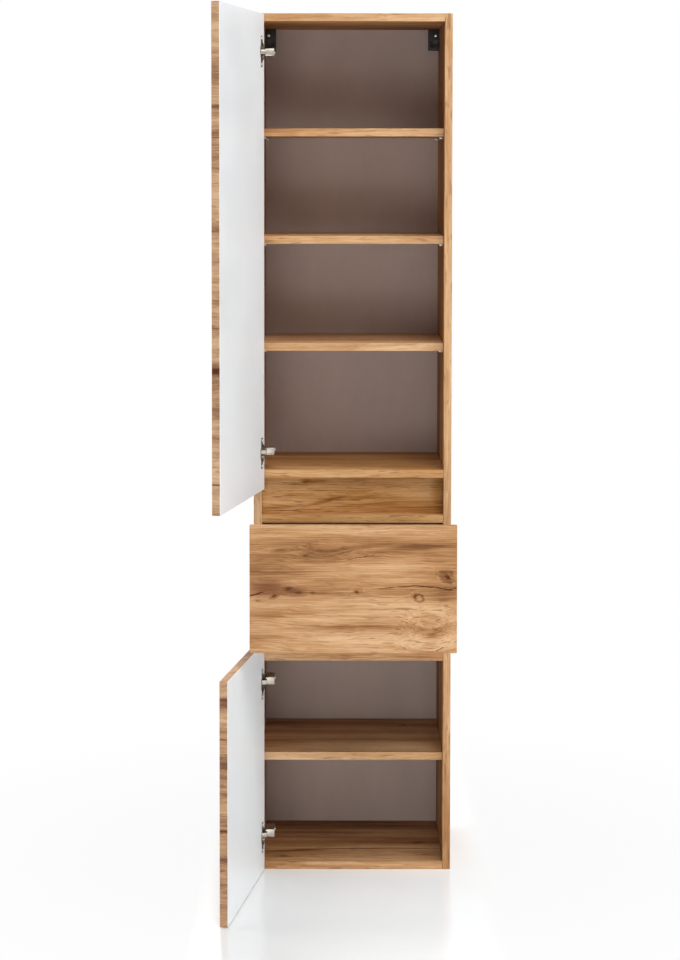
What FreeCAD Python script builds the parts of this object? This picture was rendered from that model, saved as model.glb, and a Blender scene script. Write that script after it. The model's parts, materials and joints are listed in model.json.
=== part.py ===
import FreeCAD, Part
import math
import os

Vec = FreeCAD.Vector
os.makedirs("parts", exist_ok=True)

# Driving dimensions in millimetres. The origin is the middle of the flat underside,
# +X is right as seen from the front, +Y is the wall side and +Z is up.

# Carcass
width = 400.0
height = 1740.0
depth = 330.0
board = 16.0
lower_bay_height = 414.0
drawer_bay_height = 266.0
niche_height = 76.0
lower_shelf_share = 0.5024
loose_shelf_shares = (0.2832, 0.5232, 0.7633)
lower_shelf_setback = 8.0
loose_shelf_setback = 20.0
loose_shelf_side_play = 0.5
loose_shelf_back_play = 2.0
back_thick = 3.0
back_recess = 7.0
groove_depth = 6.0
groove_play = 0.1
niche_depth = 25.0
cut_overrun = 1.0

# Joints between the boards
dowel_radius = 4.0
dowel_length = 30.0
dowel_in_side = 10.0
dowel_end_distance = 50.0

# Shelf pins and their rows of holes
pin_row_distance = 37.0
pin_hole_pitch = 32.0
pin_hole_steps = (-1, 0, 1)
pin_hole_depth = 10.0
shelf_pin_radius = 2.5
shelf_pin_in_side = 8.0
shelf_pin_lug_reach = 8.0
shelf_pin_lug_width = 7.0
shelf_pin_lug_height = 5.0
shelf_pin_play = 0.05

# Doors and drawer front
front_thick = 16.0
liner_thick = 0.8
front_side_reveal = 1.5
front_end_reveal = 2.0
upper_door_drop = 23.0
lower_door_rise = 23.0
grip_gap = 33.0
edge_radius = 1.0
hinge_edge_radius = 2.0
upper_door_open_deg = 100.3
lower_door_open_deg = 98.3

# Concealed hinges
cup_bore_radius = 17.5
cup_edge_distance = 3.0
cup_face_cover = 3.0
cup_wall = 0.6
cup_floor = 0.5
flange_thick = 1.0
flange_rim = 1.1
flange_edge_distance = 4.0
flange_length = 63.0
flange_width = 14.0
flange_corner_share = 0.33
cup_screw_offset = 5.5
cup_screw_spacing = 52.0
pivot_edge_distance = 9.0
pivot_floor_distance = 3.0
sweep_clearance = 0.37
neck_clearance = 0.5
knuckle_floor_clearance = 0.4
hinge_pin_share = 0.52
hinge_pin_play = 0.05
hinge_ear_thick = 3.0
hinge_ear_gap = 0.4
arm_thick = 2.8
neck_width = 9.0
arm_body_width = 15.0
arm_body_depth = 18.0
arm_sheet = 1.5
arm_setback = 2.0
arm_length = 48.0
arm_screw_share = 0.67
plate_thick = 2.0
plate_width = 20.0
plate_length = 48.0
plate_screw_distance = 37.0
plate_screw_pitch = 32.0
rail_block_front_distance = 14.0
upper_hinge_end_distance = 76.0
lower_hinge_top_distance = 81.0
lower_hinge_bottom_distance = 72.0

# Wood screws
screw_radius = 1.9
screw_head_radius = 3.6
screw_head_height = 1.6
screw_bite = 10.0

# Drawer and its runners
runner_rest_overlap = 29.0
drawer_rear_gap = 23.0
drawer_top_gap = 36.0
drawer_box_lift = 14.0
drawer_wall = 12.0
drawer_bottom_thick = 3.0
drawer_bottom_lift = 10.0
drawer_groove_depth = 5.0
drawer_screw_side_distance = 49.3
drawer_screw_end_distance = 35.0
runner_thick = 12.7
runner_height = 45.0
runner_rear_gap = 18.0
runner_setback = 2.0
runner_lift = 45.0
rail_sheet = 1.2
rail_gap = 0.4
rail_web_gap = 0.8
rail_lip_gap = 0.9
rail_screw_end_distance = 40.0

# Wall hangers in the upper rear corners
hanger_width = 22.0
hanger_depth = 42.0
hanger_height = 44.0
hanger_edge_radius = 1.5
hook_width = 12.0
hook_thick = 3.0
hook_drop = 18.0
hook_top_distance = 21.0
hook_inside = 30.0
hook_wall_gap = 2.0
hook_slot_play = 2.0
hanger_screw_radius = 3.5
hanger_screw_head_height = 1.2
hanger_screw_shank_radius = 2.0
hanger_screw_length = 8.0
hanger_screw_side_distance = 7.0
hanger_screw_drop = 14.0

# Places that follow from the driving dimensions
half_width = width / 2
inner_half = half_width - board
front_y = -depth / 2
rear_y = depth / 2
back_rear_y = rear_y - back_recess
back_front_y = back_rear_y - back_thick
divider_bottom = board + lower_bay_height
divider_top = divider_bottom + board
niche_floor_bottom = divider_top + drawer_bay_height
niche_floor_top = niche_floor_bottom + board
upper_floor_bottom = niche_floor_top + niche_height
upper_floor_top = upper_floor_bottom + board
ceiling = height - board
lower_shelf_bottom = board + lower_bay_height * lower_shelf_share
loose_shelf_bottoms = [upper_floor_top + (ceiling - upper_floor_top) * share - board
                       for share in loose_shelf_shares]

# The hinge pin sits near the floor of its cup, which leaves a cover of board in front of it.
cup_depth = front_thick - cup_face_cover
pivot_depth = cup_depth - pivot_floor_distance
knuckle_radius = pivot_floor_distance - cup_floor - knuckle_floor_clearance
hinge_pin_radius = knuckle_radius * hinge_pin_share

# The gap behind the fronts is what the door's rounded hinge edge needs to turn past the carcass.
corner_radius = math.hypot(pivot_edge_distance - hinge_edge_radius,
                           pivot_depth - hinge_edge_radius) + hinge_edge_radius
front_gap = corner_radius - pivot_depth + sweep_clearance
front_half = half_width - front_side_reveal
front_inner_y = front_y - front_gap
front_outer_y = front_inner_y - front_thick
lower_door_bottom = front_end_reveal
lower_door_top = divider_top + lower_door_rise
upper_door_bottom = upper_floor_bottom - upper_door_drop
upper_door_top = height - front_end_reveal
drawer_front_bottom = lower_door_top + grip_gap
drawer_front_top = upper_door_bottom - grip_gap
pivot_x = -front_half + pivot_edge_distance
pivot_y = front_inner_y - pivot_depth
cup_x = -front_half + cup_edge_distance + cup_bore_radius
neck_x = pivot_x + corner_radius + neck_clearance + arm_thick / 2
upper_hinge_heights = (upper_door_top - upper_hinge_end_distance,
                       upper_door_bottom + upper_hinge_end_distance)
lower_hinge_heights = (lower_door_top - lower_hinge_top_distance,
                       lower_door_bottom + lower_hinge_bottom_distance)

across = Vec(1, 0, 0)
backward = Vec(0, 1, 0)
upward = Vec(0, 0, 1)
nodes = {}


def block(x0, x1, y0, y1, z0, z1):
    return Part.makeBox(x1 - x0, y1 - y0, z1 - z0, Vec(x0, y0, z0))


def rod(radius, start, direction, length):
    return Part.makeCylinder(radius, length, start, direction)


def cut_all(shape, tools):
    return shape.cut(Part.makeCompound(tools)) if tools else shape


def mirrored(shape):
    return shape.mirror(Vec(0, 0, 0), across)


def pan_screw(seat, direction, grip):
    # A raised head on the seat, and a shank along the direction through the grip and into the wood.
    head = rod(screw_head_radius, seat, direction * -1, screw_head_height)
    return head.fuse(rod(screw_radius, seat, direction, grip + screw_bite)).removeSplitter()


def flush_screw(seat, direction, sheet):
    # A countersunk head as deep as the sheet, level with the seat.
    head = Part.makeCone(screw_head_radius, screw_radius, sheet, seat, direction)
    return head.fuse(rod(screw_radius, seat + direction * sheet, direction, screw_bite)).removeSplitter()


def rounded_plan(x0, x1, y0, y1, radii):
    # A rectangle in plan whose corners, from the left front one round to the left rear one, are arcs.
    corners = [Vec(x0, y0, 0), Vec(x1, y0, 0), Vec(x1, y1, 0), Vec(x0, y1, 0)]
    ends = []
    for i, corner in enumerate(corners):
        to_last = (corners[i - 1] - corner).normalize() * radii[i]
        to_next = (corners[(i + 1) % len(corners)] - corner).normalize() * radii[i]
        middle = corner + (to_last + to_next) * (1 - math.sqrt(0.5))
        ends.append((corner + to_last, middle, corner + to_next))
    edges = []
    for i, (start, middle, end) in enumerate(ends):
        edges.append(Part.LineSegment(ends[i - 1][2], start).toShape())
        edges.append(Part.Arc(start, middle, end).toShape())
    return Part.Face(Part.Wire(edges))


def front_board(bottom, top):
    # One front at its closed place. Its inner hinge edge is rounder than the other upright edges.
    radii = (edge_radius, edge_radius, edge_radius, hinge_edge_radius)
    plan = rounded_plan(-front_half, front_half, front_outer_y, front_inner_y, radii)
    plan.translate(upward * bottom)
    return plan.extrude(upward * (top - bottom))


def split_liner(front, bottom, top):
    # The white inner sheet is a thin slice of the front's inner face.
    slice_box = block(-half_width, half_width, front_inner_y - liner_thick, front_inner_y + cut_overrun,
                      bottom - cut_overrun, top + cut_overrun)
    return front.cut(slice_box), front.common(slice_box)


# Dowels at both ends of each fixed board, two to an end
def fixed_board_levels():
    return (0, lower_shelf_bottom, divider_bottom, niche_floor_bottom, upper_floor_bottom, ceiling)


def dowel_rows():
    return (front_y + dowel_end_distance, back_front_y - dowel_end_distance)


def make_dowels():
    dowels = []
    for level in fixed_board_levels():
        for row in dowel_rows():
            start = Vec(inner_half + dowel_in_side, row, level + board / 2)
            right = rod(dowel_radius, start, across * -1, dowel_length)
            dowels += [right, mirrored(right)]
    return dowels


# Shelf pins: a round shank in the side and a flat-topped lug under the shelf
def shelf_pin_rows():
    return (front_y + loose_shelf_setback + pin_row_distance, back_front_y - pin_row_distance)


def make_shelf_pins():
    pins = []
    for shelf_bottom in loose_shelf_bottoms:
        for row in shelf_pin_rows():
            middle = shelf_bottom - shelf_pin_lug_height / 2
            shank = rod(shelf_pin_radius, Vec(inner_half, row, middle), across, shelf_pin_in_side)
            lug = block(inner_half - shelf_pin_lug_reach, inner_half,
                        row - shelf_pin_lug_width / 2, row + shelf_pin_lug_width / 2,
                        shelf_bottom - shelf_pin_lug_height, shelf_bottom)
            pin = shank.fuse(lug).removeSplitter()
            pins += [pin, mirrored(pin)]
    return pins


def make_pin_holes():
    holes = []
    for shelf_bottom in loose_shelf_bottoms:
        for row in shelf_pin_rows():
            for step in pin_hole_steps:
                middle = shelf_bottom - shelf_pin_lug_height / 2 + step * pin_hole_pitch
                start = Vec(inner_half - cut_overrun, row, middle)
                holes.append(rod(shelf_pin_radius + shelf_pin_play, start, across,
                                 pin_hole_depth + cut_overrun))
    return holes


# Hinge pieces, made at one height with the door closed
def hinge_flange(level):
    top = front_inner_y + flange_thick
    centre = Vec(cup_x, front_inner_y, level)
    ring = rod(cup_bore_radius + flange_rim, centre, backward, flange_thick)
    wing_x = cup_x + cup_screw_offset
    wings = block(wing_x - flange_width / 2, wing_x + flange_width / 2, front_inner_y, top,
                  level - flange_length / 2, level + flange_length / 2)
    corners = [e for e in wings.Edges if e.BoundBox.YLength > flange_thick / 2]
    wings = wings.makeFillet(flange_width * flange_corner_share, corners)
    beyond = block(-half_width, -front_half + flange_edge_distance, front_inner_y, top + cut_overrun,
                   level - flange_length, level + flange_length)
    return ring.fuse(wings).cut(beyond)


def hinge_cup_screws(level):
    seat_x = cup_x + cup_screw_offset
    seat_y = front_inner_y + flange_thick
    seats = [Vec(seat_x, seat_y, level + side * cup_screw_spacing / 2) for side in (-1, 1)]
    return [pan_screw(seat, backward * -1, flange_thick) for seat in seats]


def hinge_ears(level):
    # Two cheeks on the cup's floor that carry the pin on either side of the arm.
    floor_y = front_inner_y - cup_depth + cup_floor
    inside = neck_width / 2 + hinge_ear_gap
    ears = []
    for bottom in (level + inside, level - inside - hinge_ear_thick):
        foot = block(pivot_x - knuckle_radius, pivot_x + knuckle_radius, floor_y - cup_floor / 2, pivot_y,
                     bottom, bottom + hinge_ear_thick)
        ears.append(foot.fuse(rod(knuckle_radius, Vec(pivot_x, pivot_y, bottom), upward, hinge_ear_thick)))
    return ears


def hinge_pin(level):
    half_length = neck_width / 2 + hinge_ear_gap + hinge_ear_thick
    return rod(hinge_pin_radius, Vec(pivot_x, pivot_y, level - half_length), upward, 2 * half_length)


def hinge_cup(level):
    mouth = Vec(cup_x, front_inner_y, level)
    pot = rod(cup_bore_radius, mouth, backward * -1, cup_depth).fuse(hinge_flange(level))
    start = Vec(cup_x, front_inner_y + flange_thick + cut_overrun, level)
    hollow = rod(cup_bore_radius - cup_wall, start, backward * -1,
                 cup_depth - cup_floor + flange_thick + cut_overrun)
    cup = pot.cut(hollow)
    for ear in hinge_ears(level):
        cup = cup.fuse(ear)
    return cut_all(cup, hinge_cup_screws(level) + [hinge_pin(level)]).removeSplitter()


def cup_bore(level):
    start = Vec(cup_x, front_inner_y + cut_overrun, level)
    return rod(cup_bore_radius, start, backward * -1, cup_depth + cut_overrun)


def arm_front_y():
    return front_y + arm_setback


def arm_left_x():
    return neck_x - arm_thick / 2


def hinge_arm_screw(level):
    seat = Vec(arm_left_x() + arm_body_depth, arm_front_y() + arm_length * arm_screw_share, level)
    return pan_screw(seat, across * -1, arm_sheet)


def hinge_arm(level):
    # A channel over the plate's block, with a gooseneck that dips into the cup to the pin.
    left, right = arm_left_x(), arm_left_x() + arm_body_depth
    front = arm_front_y()
    half_body, half_neck = arm_body_width / 2, neck_width / 2
    body = block(left, right, front, front + arm_length, level - half_body, level + half_body)
    hollow = block(left - cut_overrun, right - arm_sheet,
                   front + arm_sheet, front + arm_length + cut_overrun,
                   level - half_body + arm_sheet, level + half_body - arm_sheet)
    neck = block(left, left + arm_thick, pivot_y - arm_thick / 2, front + arm_sheet,
                 level - half_neck, level + half_neck)
    leg = block(pivot_x, left + arm_thick, pivot_y - arm_thick / 2, pivot_y + arm_thick / 2,
                level - half_neck, level + half_neck)
    knuckle = rod(knuckle_radius, Vec(pivot_x, pivot_y, level - half_neck), upward, neck_width)
    bore = rod(hinge_pin_radius + hinge_pin_play, Vec(pivot_x, pivot_y, level - neck_width), upward,
               2 * neck_width)
    arm = body.cut(hollow).fuse([neck, leg, knuckle]).cut(bore)
    return arm.cut(hinge_arm_screw(level)).removeSplitter()


def hinge_plate_screws(level):
    seat_x = -inner_half + plate_thick
    seat_y = front_y + plate_screw_distance
    seats = [Vec(seat_x, seat_y, level + side * plate_screw_pitch / 2) for side in (-1, 1)]
    return [pan_screw(seat, across * -1, plate_thick) for seat in seats]


def hinge_plate(level):
    # Wings screwed to the side board, and the block that the arm's channel sits on.
    middle_y = front_y + plate_screw_distance
    wings = block(-inner_half, -inner_half + plate_thick,
                  middle_y - plate_width / 2, middle_y + plate_width / 2,
                  level - plate_length / 2, level + plate_length / 2)
    half_block = arm_body_width / 2 - arm_sheet
    rail = block(-inner_half, arm_left_x() + arm_body_depth - arm_sheet,
                 front_y + rail_block_front_distance, arm_front_y() + arm_length,
                 level - half_block, level + half_block)
    return cut_all(wings.fuse(rail), hinge_plate_screws(level) + [hinge_arm_screw(level)]).removeSplitter()


# Runner rails: three nested channels on each side, drawn for the right side with the drawer closed
def runner_middle_z():
    return drawer_front_bottom + drawer_box_lift + runner_lift


def runner_ends():
    return front_y + runner_setback, back_front_y - runner_rear_gap


def rest_travel():
    # The drawer stands open by all of its rails but the stretch that stays beside the cabinet's.
    start, end = runner_ends()
    return end - start - runner_rest_overlap


def runner_rail(near, far, half_height, web_near):
    # A channel between two distances from the side board, with its web on one of them.
    start, end = runner_ends()
    middle = runner_middle_z()
    shape = block(inner_half - far, inner_half - near, start, end,
                  middle - half_height, middle + half_height)
    hollow_near, hollow_far = (near + rail_sheet, far) if web_near else (near, far - rail_sheet)
    x0 = inner_half - hollow_far - (cut_overrun if web_near else 0)
    x1 = inner_half - hollow_near + (0 if web_near else cut_overrun)
    hollow = block(x0, x1, start - cut_overrun, end + cut_overrun,
                   middle - half_height + rail_sheet, middle + half_height - rail_sheet)
    return shape.cut(hollow)


def rail_screws(seat_distance, direction):
    start, end = runner_ends()
    rows = (start + rail_screw_end_distance, end - rail_screw_end_distance)
    return [flush_screw(Vec(inner_half - seat_distance, row, runner_middle_z()), direction, rail_sheet)
            for row in rows]


# Drawer box, drawn closed
def drawer_levels():
    return drawer_front_bottom + drawer_box_lift, niche_floor_bottom - drawer_top_gap


def drawer_ends():
    return front_inner_y, back_front_y - drawer_rear_gap


def drawer_bottom_panel(play):
    bottom = drawer_levels()[0] + drawer_bottom_lift
    reach = drawer_groove_depth - play
    half = inner_half - runner_thick - drawer_wall + reach
    slack = groove_play - play
    front, rear = drawer_ends()
    return block(-half, half, front + drawer_wall - reach, rear - drawer_wall + reach,
                 bottom - slack, bottom + drawer_bottom_thick + slack)


def drawer_front_screws():
    bottom, top = drawer_levels()
    reach = inner_half - runner_thick - drawer_wall - drawer_screw_side_distance
    seats = [Vec(x, front_inner_y + drawer_wall, z) for x in (-reach, reach)
             for z in (bottom + drawer_screw_end_distance, top - drawer_screw_end_distance)]
    return [pan_screw(seat, backward * -1, drawer_wall) for seat in seats]


# Wall hangers, drawn for the right corner
def hanger_hook():
    middle_x = inner_half - hanger_width / 2
    x0, x1 = middle_x - hook_width / 2, middle_x + hook_width / 2
    top = ceiling - hook_top_distance
    tip_y = rear_y - hook_wall_gap
    arm = block(x0, x1, back_front_y - hook_inside, tip_y, top - hook_thick, top)
    tongue = block(x0, x1, tip_y - hook_thick, tip_y, top - hook_drop, top)
    return arm.fuse(tongue).removeSplitter()


def hook_slot():
    bounds = hanger_hook().BoundBox
    return block(bounds.XMin - hook_slot_play, bounds.XMax + hook_slot_play,
                 back_front_y - cut_overrun, back_rear_y + cut_overrun,
                 bounds.ZMin - hook_slot_play, bounds.ZMax + hook_slot_play)


def hanger_screw():
    seat = Vec(inner_half - hanger_screw_side_distance, back_front_y - hanger_depth,
               ceiling - hanger_screw_drop)
    head = rod(hanger_screw_radius, seat, backward * -1, hanger_screw_head_height)
    return head.fuse(rod(hanger_screw_shank_radius, seat, backward, hanger_screw_length)).removeSplitter()


def hanger_housing():
    shape = block(inner_half - hanger_width, inner_half, back_front_y - hanger_depth, back_front_y,
                  ceiling - hanger_height, ceiling)
    front_edges = [e for e in shape.Edges if e.BoundBox.YMax < back_front_y - hanger_depth / 2]
    return shape.makeFillet(hanger_edge_radius, front_edges).cut(hanger_hook()).cut(hanger_screw())


def make_carcass():
    dowels = make_dowels()
    pins = make_shelf_pins()
    pin_holes = make_pin_holes()
    cabinet_screws = rail_screws(rail_sheet, across)
    hinge_heights = upper_hinge_heights + lower_hinge_heights
    plate_screws = [screw for level in hinge_heights for screw in hinge_plate_screws(level)]
    groove_y = (back_front_y - groove_play, back_rear_y + groove_play)
    side_groove = block(inner_half - cut_overrun, inner_half + groove_depth, *groove_y,
                        board - groove_depth, ceiling + groove_depth)
    plain_side = block(inner_half, half_width, front_y, rear_y, 0, height).cut(side_groove)
    plain_side = cut_all(plain_side, pin_holes + cabinet_screws)
    nodes["right_side"] = cut_all(plain_side, dowels)
    nodes["left_side"] = cut_all(mirrored(plain_side), dowels + plate_screws)

    def cross_board(level, front, rear):
        return cut_all(block(-inner_half, inner_half, front, rear, level, level + board), dowels)

    def end_groove(near, far):
        return block(-half_width, half_width, *groove_y, near, far)

    floor_groove = end_groove(board - groove_depth, board + cut_overrun)
    ceiling_groove = end_groove(ceiling - cut_overrun, ceiling + groove_depth)
    nodes["bottom_panel"] = cross_board(0, front_y, rear_y).cut(floor_groove)
    nodes["top_panel"] = cross_board(ceiling, front_y, rear_y).cut(ceiling_groove)
    nodes["lower_shelf"] = cross_board(lower_shelf_bottom, front_y + lower_shelf_setback, back_front_y)
    nodes["drawer_divider"] = cross_board(divider_bottom, front_y, back_front_y)
    nodes["niche_floor"] = cross_board(niche_floor_bottom, front_y, back_front_y)
    nodes["upper_floor"] = cross_board(upper_floor_bottom, front_y, back_front_y)
    niche_back_y = front_y + niche_depth
    nodes["niche_back"] = block(-inner_half, inner_half, niche_back_y, niche_back_y + board,
                                niche_floor_top, upper_floor_bottom)
    reach = groove_depth - groove_play
    back = block(-inner_half - reach, inner_half + reach, back_front_y, back_rear_y,
                 board - reach, ceiling + reach)
    nodes["back_panel"] = cut_all(back, [hook_slot(), mirrored(hook_slot())])
    nodes["panel_dowels"] = Part.makeCompound(dowels)
    shelf_half = inner_half - loose_shelf_side_play
    for number, shelf_bottom in enumerate(loose_shelf_bottoms, 1):
        nodes[f"loose_shelf_{number}"] = block(-shelf_half, shelf_half, front_y + loose_shelf_setback,
                                               back_front_y - loose_shelf_back_play,
                                               shelf_bottom, shelf_bottom + board)
    nodes["shelf_pins"] = Part.makeCompound(pins)
    nodes["hinge_plate_screws"] = Part.makeCompound(plate_screws)
    nodes["hinge_arm_screws"] = Part.makeCompound([hinge_arm_screw(level) for level in hinge_heights])


def make_hangers():
    nodes["right_hanger_housing"] = hanger_housing()
    nodes["left_hanger_housing"] = mirrored(hanger_housing())
    nodes["right_hanger_hook"] = hanger_hook()
    nodes["left_hanger_hook"] = mirrored(hanger_hook())
    nodes["hanger_screws"] = Part.makeCompound([hanger_screw(), mirrored(hanger_screw())])


def make_door(name, bottom, top, heights, open_deg):
    pieces = {}
    screws = [screw for level in heights for screw in hinge_cup_screws(level)]
    door = cut_all(front_board(bottom, top), [cup_bore(level) for level in heights] + screws)
    pieces[f"{name}_door_board"], pieces[f"{name}_door_liner"] = split_liner(door, bottom, top)
    pieces[f"{name}_cup_screws"] = Part.makeCompound(screws)
    pieces[f"{name}_hinge_pins"] = Part.makeCompound([hinge_pin(level) for level in heights])
    for place, level in zip(("top", "bottom"), heights):
        pieces[f"{name}_{place}_hinge_cup"] = hinge_cup(level)
        nodes[f"{name}_{place}_hinge_arm"] = hinge_arm(level)
        nodes[f"{name}_{place}_hinge_plate"] = hinge_plate(level)
    for node, shape in pieces.items():
        shape.rotate(Vec(pivot_x, pivot_y, 0), upward, -open_deg)
        nodes[node] = shape


def make_runners():
    half = runner_height / 2
    step = rail_sheet + rail_gap
    middle_near = rail_sheet + rail_web_gap
    middle_far = runner_thick - rail_sheet - rail_lip_gap
    cabinet_screws = rail_screws(rail_sheet, across)
    cabinet = cut_all(runner_rail(0, middle_far - rail_lip_gap, half, True), cabinet_screws)
    middle = runner_rail(middle_near, middle_far, half - step, True)
    drawer_screws = rail_screws(runner_thick - rail_sheet, across * -1)
    drawer = runner_rail(2 * middle_near, runner_thick, half - 2 * step, False)
    drawer = cut_all(drawer, drawer_screws)
    cabinet_screws += [mirrored(screw) for screw in cabinet_screws]
    nodes["runner_cabinet_screws"] = Part.makeCompound(cabinet_screws)
    drawer_screws += [mirrored(screw) for screw in drawer_screws]
    moving = {"runner_drawer_screws": Part.makeCompound(drawer_screws)}
    for side, turn in (("right", Part.Shape.copy), ("left", mirrored)):
        nodes[f"{side}_runner_cabinet_rail"] = turn(cabinet)
        middle_rail = turn(middle)
        middle_rail.translate(backward * (-rest_travel() / 2))
        nodes[f"{side}_runner_middle_rail"] = middle_rail
        moving[f"{side}_runner_drawer_rail"] = turn(drawer)
    return moving, drawer_screws


def make_drawer():
    moving, rail_fixings = make_runners()
    bottom, top = drawer_levels()
    outer = inner_half - runner_thick
    inner = outer - drawer_wall
    front, rear = drawer_ends()
    groove = drawer_bottom_panel(0)
    front_screws = drawer_front_screws()
    levels = (drawer_front_bottom, drawer_front_top)
    face = cut_all(front_board(*levels), front_screws)
    moving["drawer_front"], moving["drawer_front_liner"] = split_liner(face, *levels)
    for side, x0, x1 in (("right", inner, outer), ("left", -outer, -inner)):
        wall = block(x0, x1, front, rear, bottom, top).cut(groove)
        moving[f"drawer_{side}_side"] = cut_all(wall, rail_fixings)
    inner_front = block(-inner, inner, front, front + drawer_wall, bottom, top).cut(groove)
    moving["drawer_inner_front"] = cut_all(inner_front, front_screws)
    moving["drawer_back"] = block(-inner, inner, rear - drawer_wall, rear, bottom, top).cut(groove)
    moving["drawer_bottom"] = drawer_bottom_panel(groove_play)
    moving["drawer_front_screws"] = Part.makeCompound(front_screws)
    for node, shape in moving.items():
        shape.translate(backward * -rest_travel())
        nodes[node] = shape


make_carcass()
make_hangers()
make_door("upper", upper_door_bottom, upper_door_top, upper_hinge_heights, upper_door_open_deg)
make_door("lower", lower_door_bottom, lower_door_top, lower_hinge_heights, lower_door_open_deg)
make_drawer()
for node_name, node_shape in sorted(nodes.items()):
    node_shape.exportStep(f"parts/{node_name}.step")
    print(node_name, len(node_shape.Solids), round(node_shape.Volume, 1), node_shape.isValid())
print(len(nodes), "nodes")
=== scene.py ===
import json
import math

import bmesh
import bpy
from mathutils import Matrix, Vector


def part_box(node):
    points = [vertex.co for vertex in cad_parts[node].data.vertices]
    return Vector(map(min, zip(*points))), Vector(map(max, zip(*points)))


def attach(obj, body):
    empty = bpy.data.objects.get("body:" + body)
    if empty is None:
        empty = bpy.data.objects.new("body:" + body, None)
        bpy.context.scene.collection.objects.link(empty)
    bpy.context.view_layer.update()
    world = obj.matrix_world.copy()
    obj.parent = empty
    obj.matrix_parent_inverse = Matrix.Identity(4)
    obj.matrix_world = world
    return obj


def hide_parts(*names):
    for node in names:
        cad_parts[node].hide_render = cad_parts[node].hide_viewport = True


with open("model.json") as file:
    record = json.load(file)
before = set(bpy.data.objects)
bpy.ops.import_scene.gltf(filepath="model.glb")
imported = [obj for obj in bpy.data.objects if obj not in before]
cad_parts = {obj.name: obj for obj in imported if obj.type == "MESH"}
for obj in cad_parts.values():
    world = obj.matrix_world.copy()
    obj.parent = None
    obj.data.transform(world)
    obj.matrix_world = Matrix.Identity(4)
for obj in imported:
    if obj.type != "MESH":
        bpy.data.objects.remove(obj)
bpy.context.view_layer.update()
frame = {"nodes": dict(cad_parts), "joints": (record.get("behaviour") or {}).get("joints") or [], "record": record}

nodes = frame["nodes"]
record = frame["record"]
joints = {joint["name"]: joint for joint in frame["joints"]}
bodyOf = {node: body for body, members in record["behaviour"]["bodies"].items() for node in members}
slotOf = {part["node"]: part["material_slot"] for part in record["subparts"]}
mm = 0.001
mergeGap = 1e-6  # points nearer than this are one
rightAngle = math.pi / 2
noiseMiddle = 0.5  # what a noise gives on average


# short words for shader nodes: a value that is a socket is linked, any other is set on the input
def put(tree, kind, inputs=None, **settings):
    made = tree.nodes.new("ShaderNode" + kind)
    for key, value in settings.items():
        setattr(made, key, value)
    for key, value in (inputs or {}).items():
        if isinstance(value, bpy.types.NodeSocket):
            tree.links.new(value, made.inputs[key])
        else:
            made.inputs[key].default_value = value
    return made


def calc(tree, operation, *values):
    return put(tree, "Math", dict(enumerate(values)), operation=operation).outputs[0]


def vectorCalc(tree, operation, *values):
    return put(tree, "VectorMath", dict(enumerate(values)), operation=operation).outputs[0]


def howFar(tree, point):
    return put(tree, "VectorMath", {0: point}, operation="LENGTH").outputs["Value"]


def along(tree, point, axis):
    return put(tree, "SeparateXYZ", {0: point}).outputs["XYZ".index(axis)]


def weigh(tree, *pairs):  # the sum of values, each times its share
    total = calc(tree, "MULTIPLY", *pairs[-1])
    for value, share in reversed(pairs[:-1]):
        total = calc(tree, "MULTIPLY_ADD", value, share, total)
    return total


def noise(tree, point, scale, detail=2.0, roughness=0.5, output=0):
    stretched = vectorCalc(tree, "MULTIPLY", point, scale)
    return put(tree, "TexNoise", {"Vector": stretched, "Scale": 1.0, "Detail": detail,
                                  "Roughness": roughness}).outputs[output]


def spread(tree, value, low, high, start=0.0, end=1.0):
    return put(tree, "MapRange", {"Value": value, "From Min": low, "From Max": high, "To Min": start,
                                  "To Max": end}, interpolation_type="SMOOTHSTEP").outputs[0]


def shade(red, green, blue):  # screen values of 0 to 255, made linear
    lin = [v / 3294.6 if v < 11 else ((v / 255 + 0.055) / 1.055) ** 2.4 for v in (red, green, blue)]
    return (*lin, 1.0)


def ramp(tree, value, stops):
    made = put(tree, "ValToRGB", {"Fac": value})
    band = made.color_ramp.elements
    band[0].position, band[0].color = stops[0][0], shade(*stops[0][1])
    band[1].position, band[1].color = stops[-1][0], shade(*stops[-1][1])
    for place, colour in stops[1:-1]:
        band.new(place).color = shade(*colour)
    return made.outputs[0]


def blend(tree, factor, first, second, mode="MIX"):
    return put(tree, "Mix", {0: factor, 6: first, 7: second}, data_type="RGBA", blend_type=mode).outputs[2]


def bump(tree, height, strength, distance):
    return put(tree, "Bump", {"Height": height, "Strength": strength, "Distance": distance}).outputs[0]


def newFinish(name, fixed):
    material = bpy.data.materials.new(name)
    material.use_nodes = True
    tree = material.node_tree
    shader = tree.nodes["Principled BSDF"]
    for key, value in fixed.items():
        shader.inputs[key].default_value = value
    return material, tree, shader, put(tree, "TexCoord").outputs["Object"]


def feed(tree, shader, **sockets):
    inputNames = {"colour": "Base Color", "rough": "Roughness", "normal": "Normal"}
    for key, socket in sockets.items():
        tree.links.new(socket, shader.inputs[inputNames[key]])


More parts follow.
